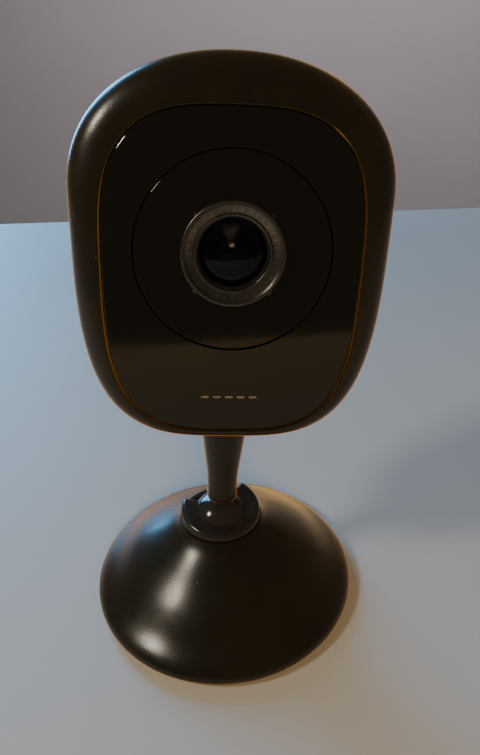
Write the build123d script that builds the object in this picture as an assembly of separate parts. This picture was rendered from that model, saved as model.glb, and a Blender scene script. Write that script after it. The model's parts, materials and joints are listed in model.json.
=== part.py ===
from build123d import *
from math import cos, pi, radians, sin
import os

# Compact network camera on a round weighted base with a ball joint. Millimetres.
# Row frame: origin at the centre of the base's underside, +Z up, the lens looks along -Y.
# Head frame: origin at the ball's centre, X to the right, Z up the stem, -Y out of the lens.
# "forward" is a distance along -Y in the head frame, "up" one along +Z.

# ---- driving dimensions: stand
BASE_RADIUS = 31.0
BASE_WALL = 2.2
GROUND_GAP = 0.7
PAD_THICKNESS = 1.2
PAD_RADIUS = 27.0
RIM_HEIGHT = 2.4
NECK_RADIUS = 9.5
NECK_HEIGHT = 20.2
WELL_RADIUS = 8.0
BALL_HEIGHT = 18.8
BALL_RADIUS = 7.0
BALL_CLEARANCE = 0.06
COLLAR_RADIUS = 9.2
COLLAR_BOTTOM = 20.2
COLLAR_TOP = 23.2
COLLAR_SLOPE = 8.5
NOTCH_BEARING = 110.0
NOTCH_HALF_ANGLE = 58.0
CEILING = 15.4
CLAMP_FACE = 8.2
CLAMP_BOLT_CIRCLE = 11.6
PLATE_BOLT_CIRCLE = 19.0
PLATE_TOP = 2.6

# ---- driving dimensions: how the head stands at rest on its ball
LEAN_RIGHT = 3.96
TILT_BACK = 9.14
YAW_LEFT = 2.2

# ---- driving dimensions: head
HEAD_HALF_WIDTH = 28.95
HEAD_MIDDLE = 75.0
HEAD_TOP = 97.9
HEAD_BOTTOM = 28.4
HEAD_TOP_POWER = 2.17
HEAD_BOTTOM_POWER = 3.48
HEAD_FRONT = 14.9
HEAD_BACK = -12.8
WIDEST_FRONT = 10.0
WIDEST_BACK = 9.2
BACK_INSET = 14.0
SHELL_WALL = 2.0
SHELL_SKIN = 0.7
SEAM = 5.6
SEAM_STEP = 0.45
SEAM_OPEN = 0.35
SECTION_POINTS = 28
HOLLOW_TURNS = (0, 30, 50, 65)

PANEL_HALF_WIDTH = 23.1
PANEL_MIDDLE = 64.0
PANEL_TOP = 89.3
PANEL_BOTTOM = 31.1
PANEL_TOP_POWER = 3.1
PANEL_BOTTOM_POWER = 3.3
PANEL_FACE = 15.1
PANEL_THICKNESS = 1.5
PANEL_GAP = 0.3
PANEL_LAND = 0.55
TAPE_THICKNESS = 0.2
LIP_THICKNESS = 1.3

LENS_HEIGHT = 65.45
DISC_RADIUS = 17.6
DISC_HOLE_RADIUS = 8.9
DISC_GAP = 0.12
DISC_THICKNESS = 1.7
TRIM_RADIUS = 9.33
GLASS_RADIUS = 6.15
BARREL_RADIUS = 6.0
LIP_HOLE_RADIUS = 15.6

BOARD_BACK = 0.8
BOARD_THICKNESS = 1.2
BOARD_HALF_WIDTH = 18.2
BOARD_CORNER = 9.0
BOARD_LOW = 43.0
BOARD_HIGH = 90.4
BOARD_SCREWS = ((-15.6, 48.0), (15.6, 48.0), (-13.6, 86.2), (13.6, 86.2))

CASE_SCREWS = ((-21.8, 70.0), (21.8, 70.0), (-16.6, 40.0), (16.6, 40.0))
CASE_SCREW_SEAT = -1.0
NECK_SCREWS = ((-10.4, 35.5), (10.4, 35.5))
CRADLE_WIDTH = 26.0
CRADLE_LOW = 31.5
CRADLE_HIGH = 39.4
CRADLE_SPLIT = 0.1
SADDLE_WIDTH = 17.0
SADDLE_FRONT = 8.6
SADDLE_GAP = 0.25
USB_PLACE = (0.0, 51.0)
USB_BAY = (14.0, 9.0)
USB_BAY_FLOOR = -6.4
RESET_PLACE = (9.7, 60.0)
RESET_RADIUS = 1.9
MICROPHONE_PLACE = (-9.7, 60.0)
LED_BELOW_PANEL_TOP = 5.2
VENT_ROWS = 6
VENT_PITCH = 2.6
VENT_LOW = 66.5
VENT_WIDTH = 1.1
VENT_LENGTH = 11.0
VENT_SHORTENING = 0.55
VENT_FROM_MIDDLE = 1.3

STEM_RADIUS = 3.42
STEM_FOOT = 5.8
STEM_NECK_RADIUS = 5.3
STEM_BOSS_RADIUS = 4.9
STEM_TOP = 39.5
STEM_BORE = 3.0
STUD_RADIUS = 1.9
STUD_TOP = 17.0
RUNNING_CLEARANCE = 0.05
CORE_RADIUS = 3.0
FLANGE_RADIUS = 7.0
FLANGE_LOW = 33.6
FLANGE_HIGH = 35.4
NECK_END = 31.4

BOARD_FRONT = BOARD_BACK + BOARD_THICKNESS
RECESS_FLOOR = PANEL_FACE - PANEL_THICKNESS - TAPE_THICKNESS
BEZEL_FLOOR = RECESS_FLOOR - LIP_THICKNESS
BACK_INSIDE = HEAD_BACK + SHELL_WALL
LED_LEVEL = PANEL_TOP - LED_BELOW_PANEL_TOP

os.makedirs("parts", exist_ok=True)
placed = {}


# ---- shared geometry
def rest_pose(shape):
    """Carry a head-frame shape to where the head stands at rest."""
    lean = Location((0, 0, BALL_HEIGHT), (0, LEAN_RIGHT, 0))
    tilt = Location((0, 0, 0), (-TILT_BACK, 0, 0))
    yaw = Location((0, 0, 0), (0, 0, YAW_LEFT))
    return lean * tilt * yaw * shape


def keep(node, shape, in_head=True):
    placed[node] = rest_pose(shape) if in_head else shape


def turned(points):
    """Solid of revolution about Z from closed (radius, height) points."""
    return revolve(Plane.XZ * make_face(Polyline(*points, close=True)), Axis.Z)


def tube(outer, inner, low, high):
    return turned([(inner, low), (outer, low), (outer, high), (inner, high)])


def rod(radius, low, high):
    return Pos(0, 0, low) * Cylinder(radius, high - low, align=(Align.CENTER, Align.CENTER, Align.MIN))


def group(solids):
    """One shape that holds several separate solids."""
    joined = Part()
    for solid in solids:
        joined += solid
    return joined


def facing(shape, across=0.0, up=0.0):
    """Turn a shape built along Z so that its +Z points forward, at a place on the head."""
    return Pos(across, 0, up) * Rot(90, 0, 0) * shape


def block(width, height, back, front, across=0.0, up=0.0, corner=0.0):
    """Flat block facing forward, between two forward distances."""
    outline = RectangleRounded(width, height, corner) if corner else Rectangle(width, height)
    return Plane.XZ.offset(back) * Pos(across, up) * extrude(outline, front - back)


def oval_points(half_width, middle, top, bottom, top_power, bottom_power, count=40):
    """Points of an outline made of two half superellipses that share their width."""
    points = []
    for step in range(count):
        angle = 2 * pi * step / count
        upper = sin(angle) >= 0
        reach = top - middle if upper else middle - bottom
        power = top_power if upper else bottom_power
        across = abs(cos(angle) / half_width) ** power
        along = abs(sin(angle) / reach) ** power
        radius = (across + along) ** (-1 / power)
        points.append((radius * cos(angle), middle + radius * sin(angle)))
    return points


def oval_slab(points, back, front):
    outline = make_face(Spline(*points, periodic=True))
    return Plane.XZ.offset(back) * extrude(outline, front - back)


def panel_outline(inset=0.0):
    return oval_points(PANEL_HALF_WIDTH - inset, PANEL_MIDDLE, PANEL_TOP - inset, PANEL_BOTTOM + inset,
                       PANEL_TOP_POWER, PANEL_BOTTOM_POWER)


def front_section(share, inset):
    """Outline between the widest one (share 0) and the land round the panel (share 1)."""
    def blend(widest, panel):
        return widest + share * (panel - widest)
    land = PANEL_LAND
    return oval_points(blend(HEAD_HALF_WIDTH, PANEL_HALF_WIDTH + land) - inset,
                       blend(HEAD_MIDDLE, PANEL_MIDDLE),
                       blend(HEAD_TOP, PANEL_TOP + land) - inset,
                       blend(HEAD_BOTTOM, PANEL_BOTTOM - land) + inset,
                       blend(HEAD_TOP_POWER, PANEL_TOP_POWER),
                       blend(HEAD_BOTTOM_POWER, PANEL_BOTTOM_POWER), SECTION_POINTS)


def shrink_at(share):
    """How far the outline has drawn in, from the widest plane (share 0) to the back (share 1)."""
    return BACK_INSET * (1 - (1 - share ** 1.35) ** (1 / 1.9))


def back_section(shrink, inset):
    return oval_points(HEAD_HALF_WIDTH - shrink - inset, HEAD_MIDDLE - 0.55 * shrink,
                       HEAD_TOP - shrink - inset, HEAD_BOTTOM + 0.9 * shrink + inset,
                       HEAD_TOP_POWER, HEAD_BOTTOM_POWER, SECTION_POINTS)


def seam_section(inset):
    share = (WIDEST_BACK - SEAM) / (WIDEST_BACK - HEAD_BACK)
    return back_section(shrink_at(share), inset)


def pebble(inset, back, front, turns=(0, 18, 36, 52, 66, 78, 90)):
    """The head's rounded body, lofted from its flat back to a flat front, rounded over by turns."""
    sections = []
    depth = WIDEST_BACK - back
    for share in (1.0, 0.985, 0.93, 0.83, 0.68, 0.5, 0.3, 0.12):
        sections.append((WIDEST_BACK - share * depth, back_section(shrink_at(share), inset)))
    sections.append((WIDEST_BACK, back_section(0.0, inset)))
    rise = (front - WIDEST_FRONT) / sin(radians(turns[-1]))
    for angle in turns:
        share = 1 - cos(radians(angle))
        sections.append((WIDEST_FRONT + rise * sin(radians(angle)), front_section(share, inset)))
    faces = [Plane.XZ.offset(forward) * make_face(Spline(*points, periodic=True))
             for forward, points in sections]
    return loft(faces)


def pan_screw(head_radius, head_height, shank_radius, length):
    """Screw along Z, its head above z=0 and its shank below, with a cross slot in the head."""
    screw = rod(head_radius, 0, head_height) + rod(shank_radius, -length, 0)
    screw = chamfer(screw.edges().filter_by(GeomType.CIRCLE).sort_by(Axis.Z)[-1], 0.3)
    slot_depth = head_height * 0.55
    for turn in (0, 90):
        bar = Box(head_radius * 1.2, head_radius * 0.28, slot_depth * 2)
        screw -= Pos(0, 0, head_height) * Rot(0, 0, turn) * bar
    return screw


# ---- base: dome, collar and the parts that hold the ball
def around(radius, count, start=0.0):
    for step in range(count):
        angle = radians(start + 360 * step / count)
        yield radius * cos(angle), radius * sin(angle)


def dome_outer():
    """Half profile of the dome's outside: rolled rim, convex shoulder, concave neck, flat top."""
    radius = BASE_RADIUS
    rim = Spline((radius - 1.1, GROUND_GAP), (radius - 0.3, 1.2), (radius, RIM_HEIGHT), (radius - 0.8, 3.8),
                 (27.3, 6.0), (22.3, 10.3), (17.0, 14.2), (13.0, 16.9), (10.7, 18.8), (NECK_RADIUS, NECK_HEIGHT))
    top = Line((NECK_RADIUS, NECK_HEIGHT), (0, NECK_HEIGHT))
    axis = Line((0, NECK_HEIGHT), (0, GROUND_GAP))
    floor = Line((0, GROUND_GAP), (radius - 1.1, GROUND_GAP))
    return revolve(Plane.XZ * make_face(rim + top + axis + floor), Axis.Z)


def dome_inner():
    """The hollow under the dome, one wall thickness inside it."""
    radius = BASE_RADIUS - BASE_WALL
    side = Line((radius, GROUND_GAP), (radius, PLATE_TOP + 0.2))
    slope = Spline((radius, PLATE_TOP + 0.2), (25.6, 4.9), (21.0, 8.4), (15.9, 12.2), (11.6, CEILING))
    top = Line((11.6, CEILING), (0, CEILING))
    axis = Line((0, CEILING), (0, GROUND_GAP))
    floor = Line((0, GROUND_GAP), (radius, GROUND_GAP))
    return revolve(Plane.XZ * make_face(side + slope + top + axis + floor), Axis.Z)


def make_dome():
    outside = dome_outer()
    dome = outside - dome_inner()
    dome += tube(WELL_RADIUS + 1.5, WELL_RADIUS, CLAMP_FACE, CEILING + 1)
    for x, y in around(CLAMP_BOLT_CIRCLE, 3, 30):
        dome += Pos(x, y, 0) * rod(2.2, CLAMP_FACE, CEILING + 0.5)
    for x, y in around(PLATE_BOLT_CIRCLE, 3, 90):
        dome += (Pos(x, y, 0) * rod(2.6, PLATE_TOP, 11.0)) & outside
    dome -= rod(WELL_RADIUS, CLAMP_FACE - 1, NECK_HEIGHT + 1)
    for x, y in around(CLAMP_BOLT_CIRCLE, 3, 30):
        dome -= Pos(x, y, 0) * rod(0.95, CLAMP_FACE - 1, 13.6)
    for x, y in around(PLATE_BOLT_CIRCLE, 3, 90):
        dome -= Pos(x, y, 0) * rod(1.0, PLATE_TOP - 1, 8.8)
    keep("base_dome", dome, in_head=False)


def make_collar():
    """C-shaped ring that closes over the ball, open on one side so that the stem can fold down."""
    ring = tube(COLLAR_RADIUS, 5.0, COLLAR_BOTTOM, COLLAR_TOP + 4)
    slant = Rot(0, 0, NOTCH_BEARING) * Pos(0, 0, COLLAR_TOP) * Rot(0, -COLLAR_SLOPE, 0)
    ring -= slant * Pos(0, 0, 10) * Box(40, 40, 20)
    rims = [edge for edge in ring.edges() if edge.bounding_box().max.Z > COLLAR_TOP and edge.length > 40]
    ring = fillet(rims, 1.1)
    lower = ring.edges().filter_by(GeomType.CIRCLE).group_by(SortBy.RADIUS)[-1].sort_by(Axis.Z)[0]
    ring = fillet(lower, 0.5)
    ring += tube(WELL_RADIUS - 0.05, 5.0, 15.6, COLLAR_BOTTOM + 0.6)
    reach = 14.0
    spread = radians(NOTCH_HALF_ANGLE)
    wedge = make_face(Polyline((0, 0), (reach * cos(spread), -reach * sin(spread)), (2 * reach, 0),
                               (reach * cos(spread), reach * sin(spread)), close=True))
    opening = Rot(0, 0, NOTCH_BEARING) * Pos(0, 0, COLLAR_BOTTOM) * extrude(wedge, 8)
    ring -= opening
    ring -= Pos(0, 0, BALL_HEIGHT) * Sphere(BALL_RADIUS + BALL_CLEARANCE)
    ring -= rod(BALL_RADIUS + BALL_CLEARANCE, 10, BALL_HEIGHT)
    keep("socket_collar", ring, in_head=False)


def make_socket_parts():
    seat_bottom = 11.4
    seat = tube(WELL_RADIUS - 0.1, 2.6, seat_bottom, 15.0)
    seat -= Pos(0, 0, BALL_HEIGHT) * Sphere(BALL_RADIUS + BALL_CLEARANCE)
    keep("ball_seat", seat, in_head=False)

    wire = 0.42
    coil_radius = 5.6
    space = seat_bottom - CLAMP_FACE
    path = Helix(pitch=(space - 2 * wire) / 2, height=space - 2 * wire, radius=coil_radius)
    section = Plane(path @ 0, z_dir=path % 0) * Circle(wire)
    spring = Pos(0, 0, CLAMP_FACE + wire) * sweep(section, path)
    keep("pressure_spring", spring, in_head=False)

    plate_thickness = 1.6
    plate = rod(14.4, CLAMP_FACE - plate_thickness, CLAMP_FACE)
    plate += rod(4.4, CLAMP_FACE, CLAMP_FACE + 1.6)
    plate -= rod(2.2, CLAMP_FACE - 2, CLAMP_FACE + 2)
    screws = []
    for x, y in around(CLAMP_BOLT_CIRCLE, 3, 30):
        plate -= Pos(x, y, 0) * rod(1.15, CLAMP_FACE - 2, CLAMP_FACE + 1)
        screw = Rot(180, 0, 0) * pan_screw(1.9, 1.3, 0.9, 6.5)
        screws.append(Pos(x, y, CLAMP_FACE - plate_thickness) * screw)
    keep("clamp_plate", plate, in_head=False)
    keep("clamp_screws", group(screws), in_head=False)


def make_underside():
    weight = turned([(15.2, 3.0), (25.3, 3.0), (25.3, 4.2), (21.3, 7.2), (15.2, 7.2)])
    for x, y in around(PLATE_BOLT_CIRCLE, 3, 90):
        weight -= Pos(x, y, 0) * rod(2.9, 2, 9)
    keep("base_weight", weight, in_head=False)

    plate = rod(BASE_RADIUS - BASE_WALL - 0.3, GROUND_GAP, PLATE_TOP)
    plate -= rod(PAD_RADIUS + 0.2, GROUND_GAP - 1, PAD_THICKNESS)
    screws = []
    for x, y in around(PLATE_BOLT_CIRCLE, 3, 90):
        plate -= Pos(x, y, 0) * rod(1.2, 0, 4)
        plate -= Pos(x, y, 0) * rod(2.1, 0, 1.9)
        screw = Rot(180, 0, 0) * pan_screw(1.9, 0.65, 0.95, 5.6)
        screws.append(Pos(x, y, 1.9) * screw)
    keep("base_plate", plate, in_head=False)
    keep("base_plate_screws", group(screws), in_head=False)
    keep("foot_pad", rod(PAD_RADIUS, 0, PAD_THICKNESS), in_head=False)


# ---- ball joint: core, ball with its stud, and the stem that turns on the stud
def make_ball_joint():
    keep("ball_core", Sphere(CORE_RADIUS))
    ball = Sphere(BALL_RADIUS) + rod(STUD_RADIUS, BALL_RADIUS - 1, STUD_TOP)
    ball -= Sphere(CORE_RADIUS + RUNNING_CLEARANCE)
    ball -= rod(0.8, STUD_TOP - 5, STUD_TOP + 1)
    keep("ball_stud", ball)
    keep("stem_washer", tube(STEM_BORE - 0.25, 0.95, STUD_TOP, STUD_TOP + 0.5))
    keep("stem_screw", Pos(0, 0, STUD_TOP + 0.5) * pan_screw(2.0, 1.3, 0.78, 5.0))


def make_stem():
    """Slim moulded stem that flares like a trumpet into the head, with a flange inside it."""
    foot = STEM_FOOT
    heel = ThreePointArc((2.2, foot), (STEM_RADIUS - 0.36, foot + 0.4), (STEM_RADIUS, foot + 1.3))
    shaft = Line((STEM_RADIUS, foot + 1.3), (STEM_RADIUS, 9.6))
    flare = Spline((STEM_RADIUS, 9.6), (3.62, 13.2), (4.0, 16.2), (4.62, 21.0), (STEM_NECK_RADIUS, 26.4),
                   tangents=((0, 1), (0.05, 1)))
    inside = Polyline((STEM_NECK_RADIUS, 26.4), (STEM_NECK_RADIUS, NECK_END), (STEM_BOSS_RADIUS, NECK_END),
                      (STEM_BOSS_RADIUS, FLANGE_LOW), (FLANGE_RADIUS, FLANGE_LOW), (FLANGE_RADIUS, FLANGE_HIGH),
                      (STEM_BOSS_RADIUS, FLANGE_HIGH), (STEM_BOSS_RADIUS, STEM_TOP), (0, STEM_TOP), (0, foot),
                      (2.2, foot))
    stem = revolve(Plane.XZ * make_face(heel + shaft + flare + inside), Axis.Z)
    stem -= Sphere(BALL_RADIUS + 0.12)
    stem -= rod(STUD_RADIUS + RUNNING_CLEARANCE, 3, STEM_TOP + 1)
    stem -= rod(STEM_BORE, STUD_TOP - 0.1, STEM_TOP + 1)
    keep("stem", stem)


# ---- head: the two shells
def vent_cuts():
    """Two fans of slots on the back, a little shorter towards the top."""
    for row in range(VENT_ROWS):
        length = VENT_LENGTH - VENT_SHORTENING * row
        for side in (-1, 1):
            slot = extrude(SlotOverall(length, VENT_WIDTH), 7.0)
            place = Pos(side * (length / 2 + VENT_FROM_MIDDLE), VENT_LOW + VENT_PITCH * row)
            yield Plane.XZ.offset(HEAD_BACK - 1) * place * slot


def make_shells():
    body = pebble(0.0, HEAD_BACK, HEAD_FRONT)
    hollow = pebble(SHELL_WALL, BACK_INSIDE, BEZEL_FLOOR, HOLLOW_TURNS)
    limit = pebble(SHELL_SKIN, HEAD_BACK + SHELL_SKIN, HEAD_FRONT - SHELL_SKIN)
    shell = body - hollow
    make_front_bezel(shell, limit)
    make_rear_cover(shell, limit)
    make_neck_clamp()


def make_front_bezel(shell, limit):
    bezel = shell & (Pos(0, -SEAM - 20, 60) * Box(90, 40, 110))
    bezel -= oval_slab(panel_outline(-PANEL_GAP), RECESS_FLOOR, HEAD_FRONT + 2)
    bezel -= facing(rod(LIP_HOLE_RADIUS, 5, 20), up=LENS_HEIGHT)
    for across, up in CASE_SCREWS:
        bezel += facing(rod(2.6, SEAM, BEZEL_FLOOR + 0.5), across, up) & limit
    for across, up in CASE_SCREWS:
        bezel -= facing(rod(0.85, SEAM - 1, BEZEL_FLOOR - 0.8), across, up)
    bezel -= facing(rod(0.9, 10, 20), 0, LED_LEVEL)
    rim = oval_slab(seam_section(-1.0), SEAM, SEAM + SEAM_OPEN)
    bezel -= rim - oval_slab(seam_section(SEAM_STEP), SEAM - 1, SEAM + 1)
    keep("front_bezel", bezel)


def make_rear_cover(shell, limit):
    cover = shell & (Pos(0, -SEAM + 20, 60) * Box(90, 40, 110))
    for across, up in CASE_SCREWS:
        cover += facing(rod(3.3, HEAD_BACK, SEAM), across, up) & limit
    for across, up in BOARD_SCREWS:
        cover += facing(rod(2.4, HEAD_BACK, BOARD_BACK), across, up) & limit
    cover += block(USB_BAY[0] + 3.0, USB_BAY[1] + 3.0, HEAD_BACK + 0.6, USB_BAY_FLOOR + 1.4, *USB_PLACE, 2.6)
    cradle_middle = (CRADLE_LOW + CRADLE_HIGH) / 2
    cradle_height = CRADLE_HIGH - CRADLE_LOW
    cover += block(CRADLE_WIDTH, cradle_height, HEAD_BACK, -CRADLE_SPLIT, 0, cradle_middle) & limit

    for across, up in CASE_SCREWS:
        cover -= facing(rod(2.3, HEAD_BACK - 1, CASE_SCREW_SEAT), across, up)
        cover -= facing(rod(1.15, CASE_SCREW_SEAT - 1, SEAM + 1), across, up)
    for across, up in BOARD_SCREWS:
        cover -= facing(rod(0.85, BOARD_BACK - 6, BOARD_BACK + 1), across, up)
    for across, up in NECK_SCREWS:
        cover -= facing(rod(0.85, -6, 1), across, up)
    cover -= block(*USB_BAY, HEAD_BACK - 1, USB_BAY_FLOOR, *USB_PLACE, 1.6)
    cover -= block(8.2, 3.4, USB_BAY_FLOOR - 1, USB_BAY_FLOOR + 3, *USB_PLACE, 1.0)
    cover -= facing(rod(RESET_RADIUS + 0.15, HEAD_BACK - 1, BACK_INSIDE + 1), *RESET_PLACE)
    cover -= facing(rod(0.5, HEAD_BACK - 1, BACK_INSIDE + 1), *MICROPHONE_PLACE)
    for cut in vent_cuts():
        cover -= cut
    cover -= rod(STEM_NECK_RADIUS + 0.1, 18, NECK_END + 0.1)
    cover -= rod(STEM_BOSS_RADIUS + 0.05, 20, STEM_TOP + 0.5)
    cover -= rod(FLANGE_RADIUS + 0.1, FLANGE_LOW - 0.05, FLANGE_HIGH + 0.05)
    keep("rear_cover", cover)


def make_neck_clamp():
    """Saddle screwed onto the cradle from the front, trimmed to clear the shell's inside."""
    middle = (CRADLE_LOW + CRADLE_HIGH) / 2
    height = CRADLE_HIGH - CRADLE_LOW - 0.2
    clamp = block(CRADLE_WIDTH, height, 0.0, 2.4, 0, middle)
    clamp += block(SADDLE_WIDTH, height, 0.0, SADDLE_FRONT, 0, middle, 2.0)
    clamp = clamp & pebble(SHELL_WALL + SADDLE_GAP, BACK_INSIDE, BEZEL_FLOOR, HOLLOW_TURNS)
    clamp -= rod(STEM_BOSS_RADIUS + 0.05, 20, STEM_TOP + 0.5)
    clamp -= rod(FLANGE_RADIUS + 0.1, FLANGE_LOW - 0.05, FLANGE_HIGH + 0.05)
    screws = []
    for across, up in NECK_SCREWS:
        clamp -= facing(rod(1.15, -1, 3), across, up)
        screws.append(facing(Pos(0, 0, 2.4) * pan_screw(1.8, 1.3, 0.8, 7.0), across, up))
    keep("neck_clamp", clamp)
    keep("neck_screws", group(screws))


def make_panel_and_disc():
    panel = oval_slab(panel_outline(), PANEL_FACE - PANEL_THICKNESS, PANEL_FACE)
    panel = chamfer(panel.edges().sort_by(Axis.Y)[0], 0.3)
    panel -= facing(rod(DISC_RADIUS + DISC_GAP, 10, 20), up=LENS_HEIGHT)
    keep("front_panel", panel)

    tape = oval_slab(panel_outline(0.6), RECESS_FLOOR, RECESS_FLOOR + TAPE_THICKNESS)
    tape -= oval_slab(panel_outline(3.2), RECESS_FLOOR - 1, RECESS_FLOOR + 1)
    keep("panel_tape", tape)

    disc = facing(tube(DISC_RADIUS, DISC_HOLE_RADIUS, PANEL_FACE - DISC_THICKNESS, PANEL_FACE), up=LENS_HEIGHT)
    rims = disc.edges().filter_by(GeomType.CIRCLE).group_by(SortBy.RADIUS)[-1].sort_by(Axis.Y)
    keep("lens_disc", chamfer(rims[0], 0.25))


# ---- lens and sensor, at distances behind or in front of the panel's face
def make_lens():
    face = PANEL_FACE
    trim = turned([(8.8, face - 3.0), (8.8, face), (TRIM_RADIUS, face), (TRIM_RADIUS, face + 0.35),
                   (TRIM_RADIUS - 0.15, face + 0.5), (TRIM_RADIUS - 0.6, face + 0.5), (TRIM_RADIUS - 0.8, face + 0.2),
                   (7.15, face - 0.4), (6.9, face - 0.2), (6.55, face - 0.25), (6.42, face - 0.5),
                   (6.42, face - 0.9), (7.5, face - 0.9), (7.5, face - 3.0)])
    keep("lens_trim_ring", facing(trim, up=LENS_HEIGHT))

    crown_radius = 16.4
    glass_top = face - 0.9
    glass = rod(GLASS_RADIUS, face - 2.9, face + 1) & (Pos(0, 0, glass_top - crown_radius) * Sphere(crown_radius))
    glass -= Pos(0, 0, face - 7.9) * Sphere(6.2)
    keep("lens_glass_front", facing(glass, up=LENS_HEIGHT))

    pocket = GLASS_RADIUS + 0.03
    barrel = turned([(BARREL_RADIUS, 4.6), (BARREL_RADIUS, face - 4.5), (7.2, face - 4.1), (7.2, face - 1.1),
                     (pocket, face - 1.1), (pocket, face - 2.95), (5.6, face - 2.95), (4.53, face - 4.6),
                     (4.53, 8.0), (3.33, 8.0), (3.33, 4.6)])
    keep("lens_barrel", facing(barrel, up=LENS_HEIGHT))

    middle = rod(4.5, 8.7, 12.0) & (Pos(0, 0, 2.2) * Sphere(8.4))
    keep("lens_glass_middle", facing(middle, up=LENS_HEIGHT))
    keep("aperture_stop", facing(tube(4.5, 1.3, 8.1, 8.5), up=LENS_HEIGHT))
    rear = rod(3.3, 5.0, 7.9) & (Pos(0, 0, 11.6) * Sphere(6.7))
    keep("lens_glass_rear", facing(rear, up=LENS_HEIGHT))

    holder = block(17.0, 17.0, BOARD_FRONT, BOARD_FRONT + 2.0, 0, LENS_HEIGHT, 1.5)
    holder += facing(rod(7.9, BOARD_FRONT, 10.2), up=LENS_HEIGHT)
    for side in (-1, 1):
        holder += block(6.0, 6.0, BOARD_FRONT, BOARD_FRONT + 2.0, side * 10.0, LENS_HEIGHT, 1.5)
    holder -= facing(rod(BARREL_RADIUS + 0.04, 4.4, 12), up=LENS_HEIGHT)
    holder -= block(8.6, 8.6, BOARD_FRONT - 1, BOARD_FRONT + 1.5, 0, LENS_HEIGHT)
    holder -= facing(rod(3.6, BOARD_FRONT, 5), up=LENS_HEIGHT)
    screws = []
    for side in (-1, 1):
        holder -= facing(rod(0.8, BOARD_FRONT - 1, 6), side * 10.6, LENS_HEIGHT)
        screw = Rot(180, 0, 0) * pan_screw(1.5, 0.9, 0.75, 3.0)
        screws.append(facing(Pos(0, 0, BOARD_BACK) * screw, side * 10.6, LENS_HEIGHT))
    keep("lens_holder", holder)
    keep("lens_holder_screws", group(screws))
    keep("image_sensor", block(8.0, 8.0, BOARD_FRONT, BOARD_FRONT + 0.9, 0, LENS_HEIGHT))
    keep("ir_cut_filter", block(6.0, 6.0, BOARD_FRONT + 1.0, BOARD_FRONT + 1.4, 0, LENS_HEIGHT))


# ---- circuit board and what is on it
def make_board():
    middle = (BOARD_LOW + BOARD_HIGH) / 2
    height = BOARD_HIGH - BOARD_LOW
    board = block(2 * BOARD_HALF_WIDTH, height, BOARD_BACK, BOARD_FRONT, 0, middle, BOARD_CORNER)
    for across, up in BOARD_SCREWS:
        board -= facing(rod(1.1, BOARD_BACK - 1, BOARD_FRONT + 1), across, up)
    for side in (-1, 1):
        board -= facing(rod(0.85, BOARD_BACK - 1, BOARD_FRONT + 1), side * 10.6, LENS_HEIGHT)
    keep("main_board", board)
    screws = [facing(Pos(0, 0, BOARD_FRONT) * pan_screw(1.9, 1.2, 0.8, 5.6), across, up)
              for across, up in BOARD_SCREWS]
    keep("board_screws", group(screws))


def make_back_electronics():
    back = BOARD_BACK
    chip_level = 71.8
    keep("processor_chip", block(13.0, 13.0, back - 1.1, back, 0, chip_level))
    keep("memory_chip", block(8.0, 10.0, back - 1.0, back, -13.2, 76.5))
    keep("thermal_pad", block(13.0, 13.0, back - 1.9, back - 1.1, 0, chip_level))
    spreader = block(16.0, 18.0, back - 3.1, back - 1.9, 0, chip_level, 1.5)
    for fin in range(5):
        spreader += block(1.2, 17.0, back - 7.2, back - 3.0, -6.6 + 3.3 * fin, chip_level)
    keep("heat_spreader", spreader)
    keep("microphone", block(3.8, 3.0, back - 1.1, back, *MICROPHONE_PLACE))
    boot = facing(tube(2.4, 1.3, BACK_INSIDE, back - 1.1), *MICROPHONE_PLACE)
    keep("microphone_boot", boot)


def make_front_electronics():
    front = BOARD_FRONT
    shield = block(13.0, 9.0, front, front + 1.8, 9.5, 79.3, 0.6)
    shield -= block(12.4, 8.4, front - 1, front + 1.5, 9.5, 79.3, 0.4)
    keep("radio_shield", shield)
    keep("radio_chip", block(6.0, 6.0, front, front + 0.9, 9.5, 79.3))
    antenna = block(20.0, 0.5, front, front + 4.2, 0, 90.1)
    antenna += block(20.0, 4.0, front + 3.8, front + 4.2, 0, 88.3)
    antenna -= block(8.0, 6.0, front - 1, front + 2.2, 0, 90.1)
    keep("antenna", antenna)
    keep("power_inductor", block(6.0, 6.0, front, front + 2.8, -12.0, 53.0, 1.2))
    keep("clock_crystal", block(5.0, 3.2, front, front + 1.0, -14.4, 60.5, 0.6))
    cans = [facing(rod(2.0, front, front + 5.0), 14.6, up) for up in (53.0, 59.0)]
    keep("capacitors", group(cans))
    keep("status_led", block(1.6, 1.6, front, front + 0.7, 0, LED_LEVEL))
    pipe = rod(1.5, front + 0.9, BEZEL_FLOOR - 0.05) + rod(0.8, 10, RECESS_FLOOR)
    keep("light_pipe", facing(pipe, 0, LED_LEVEL))


def make_usb_and_reset():
    back = BOARD_BACK
    socket = block(7.8, 2.9, USB_BAY_FLOOR - 0.2, back, *USB_PLACE, 0.8)
    socket -= block(7.0, 2.0, USB_BAY_FLOOR - 1, back - 1.2, *USB_PLACE, 0.6)
    socket += block(4.4, 0.6, USB_BAY_FLOOR + 0.5, back - 1.0, USB_PLACE[0], USB_PLACE[1] + 0.25)
    keep("micro_usb_socket", socket)

    switch = block(4.5, 4.5, back - 2.2, back, *RESET_PLACE)
    switch += facing(rod(1.2, back - 3.0, back - 2.0), *RESET_PLACE)
    keep("reset_switch", switch)
    button = facing(rod(RESET_RADIUS, HEAD_BACK - 0.5, BACK_INSIDE + 0.5), *RESET_PLACE)
    button = chamfer(button.edges().filter_by(GeomType.CIRCLE).sort_by(Axis.Y)[-1], 0.3)
    button += facing(rod(1.3, BACK_INSIDE, back - 3.5), *RESET_PLACE)
    button += facing(rod(2.7, BACK_INSIDE + 0.1, BACK_INSIDE + 0.9), *RESET_PLACE)
    keep("reset_button", button)


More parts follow.
